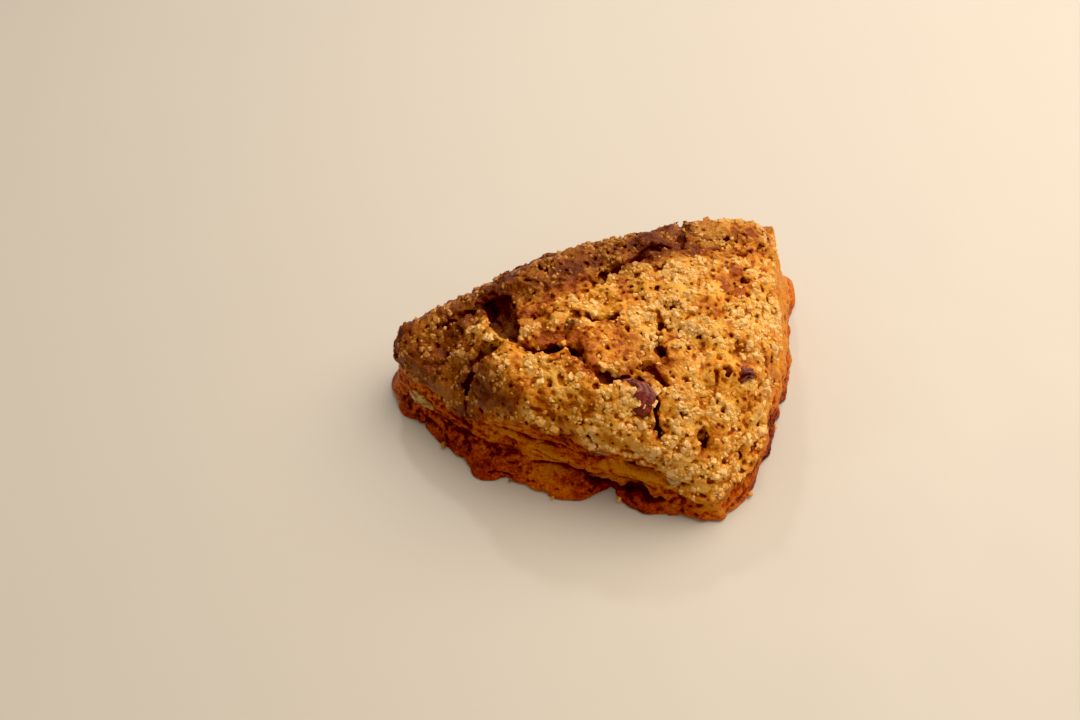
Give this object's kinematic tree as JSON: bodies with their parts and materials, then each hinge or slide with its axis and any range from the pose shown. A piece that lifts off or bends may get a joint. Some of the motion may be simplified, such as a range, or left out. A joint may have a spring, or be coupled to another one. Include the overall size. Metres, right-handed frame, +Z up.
{
  "type": "scone",
  "caption": "Wedge-shaped scone with a cracked coarse-sugar crust, layered sides, a browned foot, dried red berries and nut pieces.",
  "frame": {"origin": "under the middle of the part's bounding box, on the flat bottom", "axes": "+X from the cut tip to the round's outer edge, +Y across the wedge to the back cut, +Z up"},
  "size_m": [0.1098, 0.0802, 0.0352],
  "materials": {
    "crust": "matt baked crust with coarse sugar",
    "dried_berry": "glossy wrinkled dried berry",
    "nut": "satin broken nut"
  },
  "bodies": {
    "root": {"scone": "crust", "berry_front": "dried_berry", "berry_crack": "dried_berry", "berry_outer": "dried_berry", "nut_tip": "nut", "nut_front": "nut", "nut_corner": "nut"}
  },
  "joints": []
}
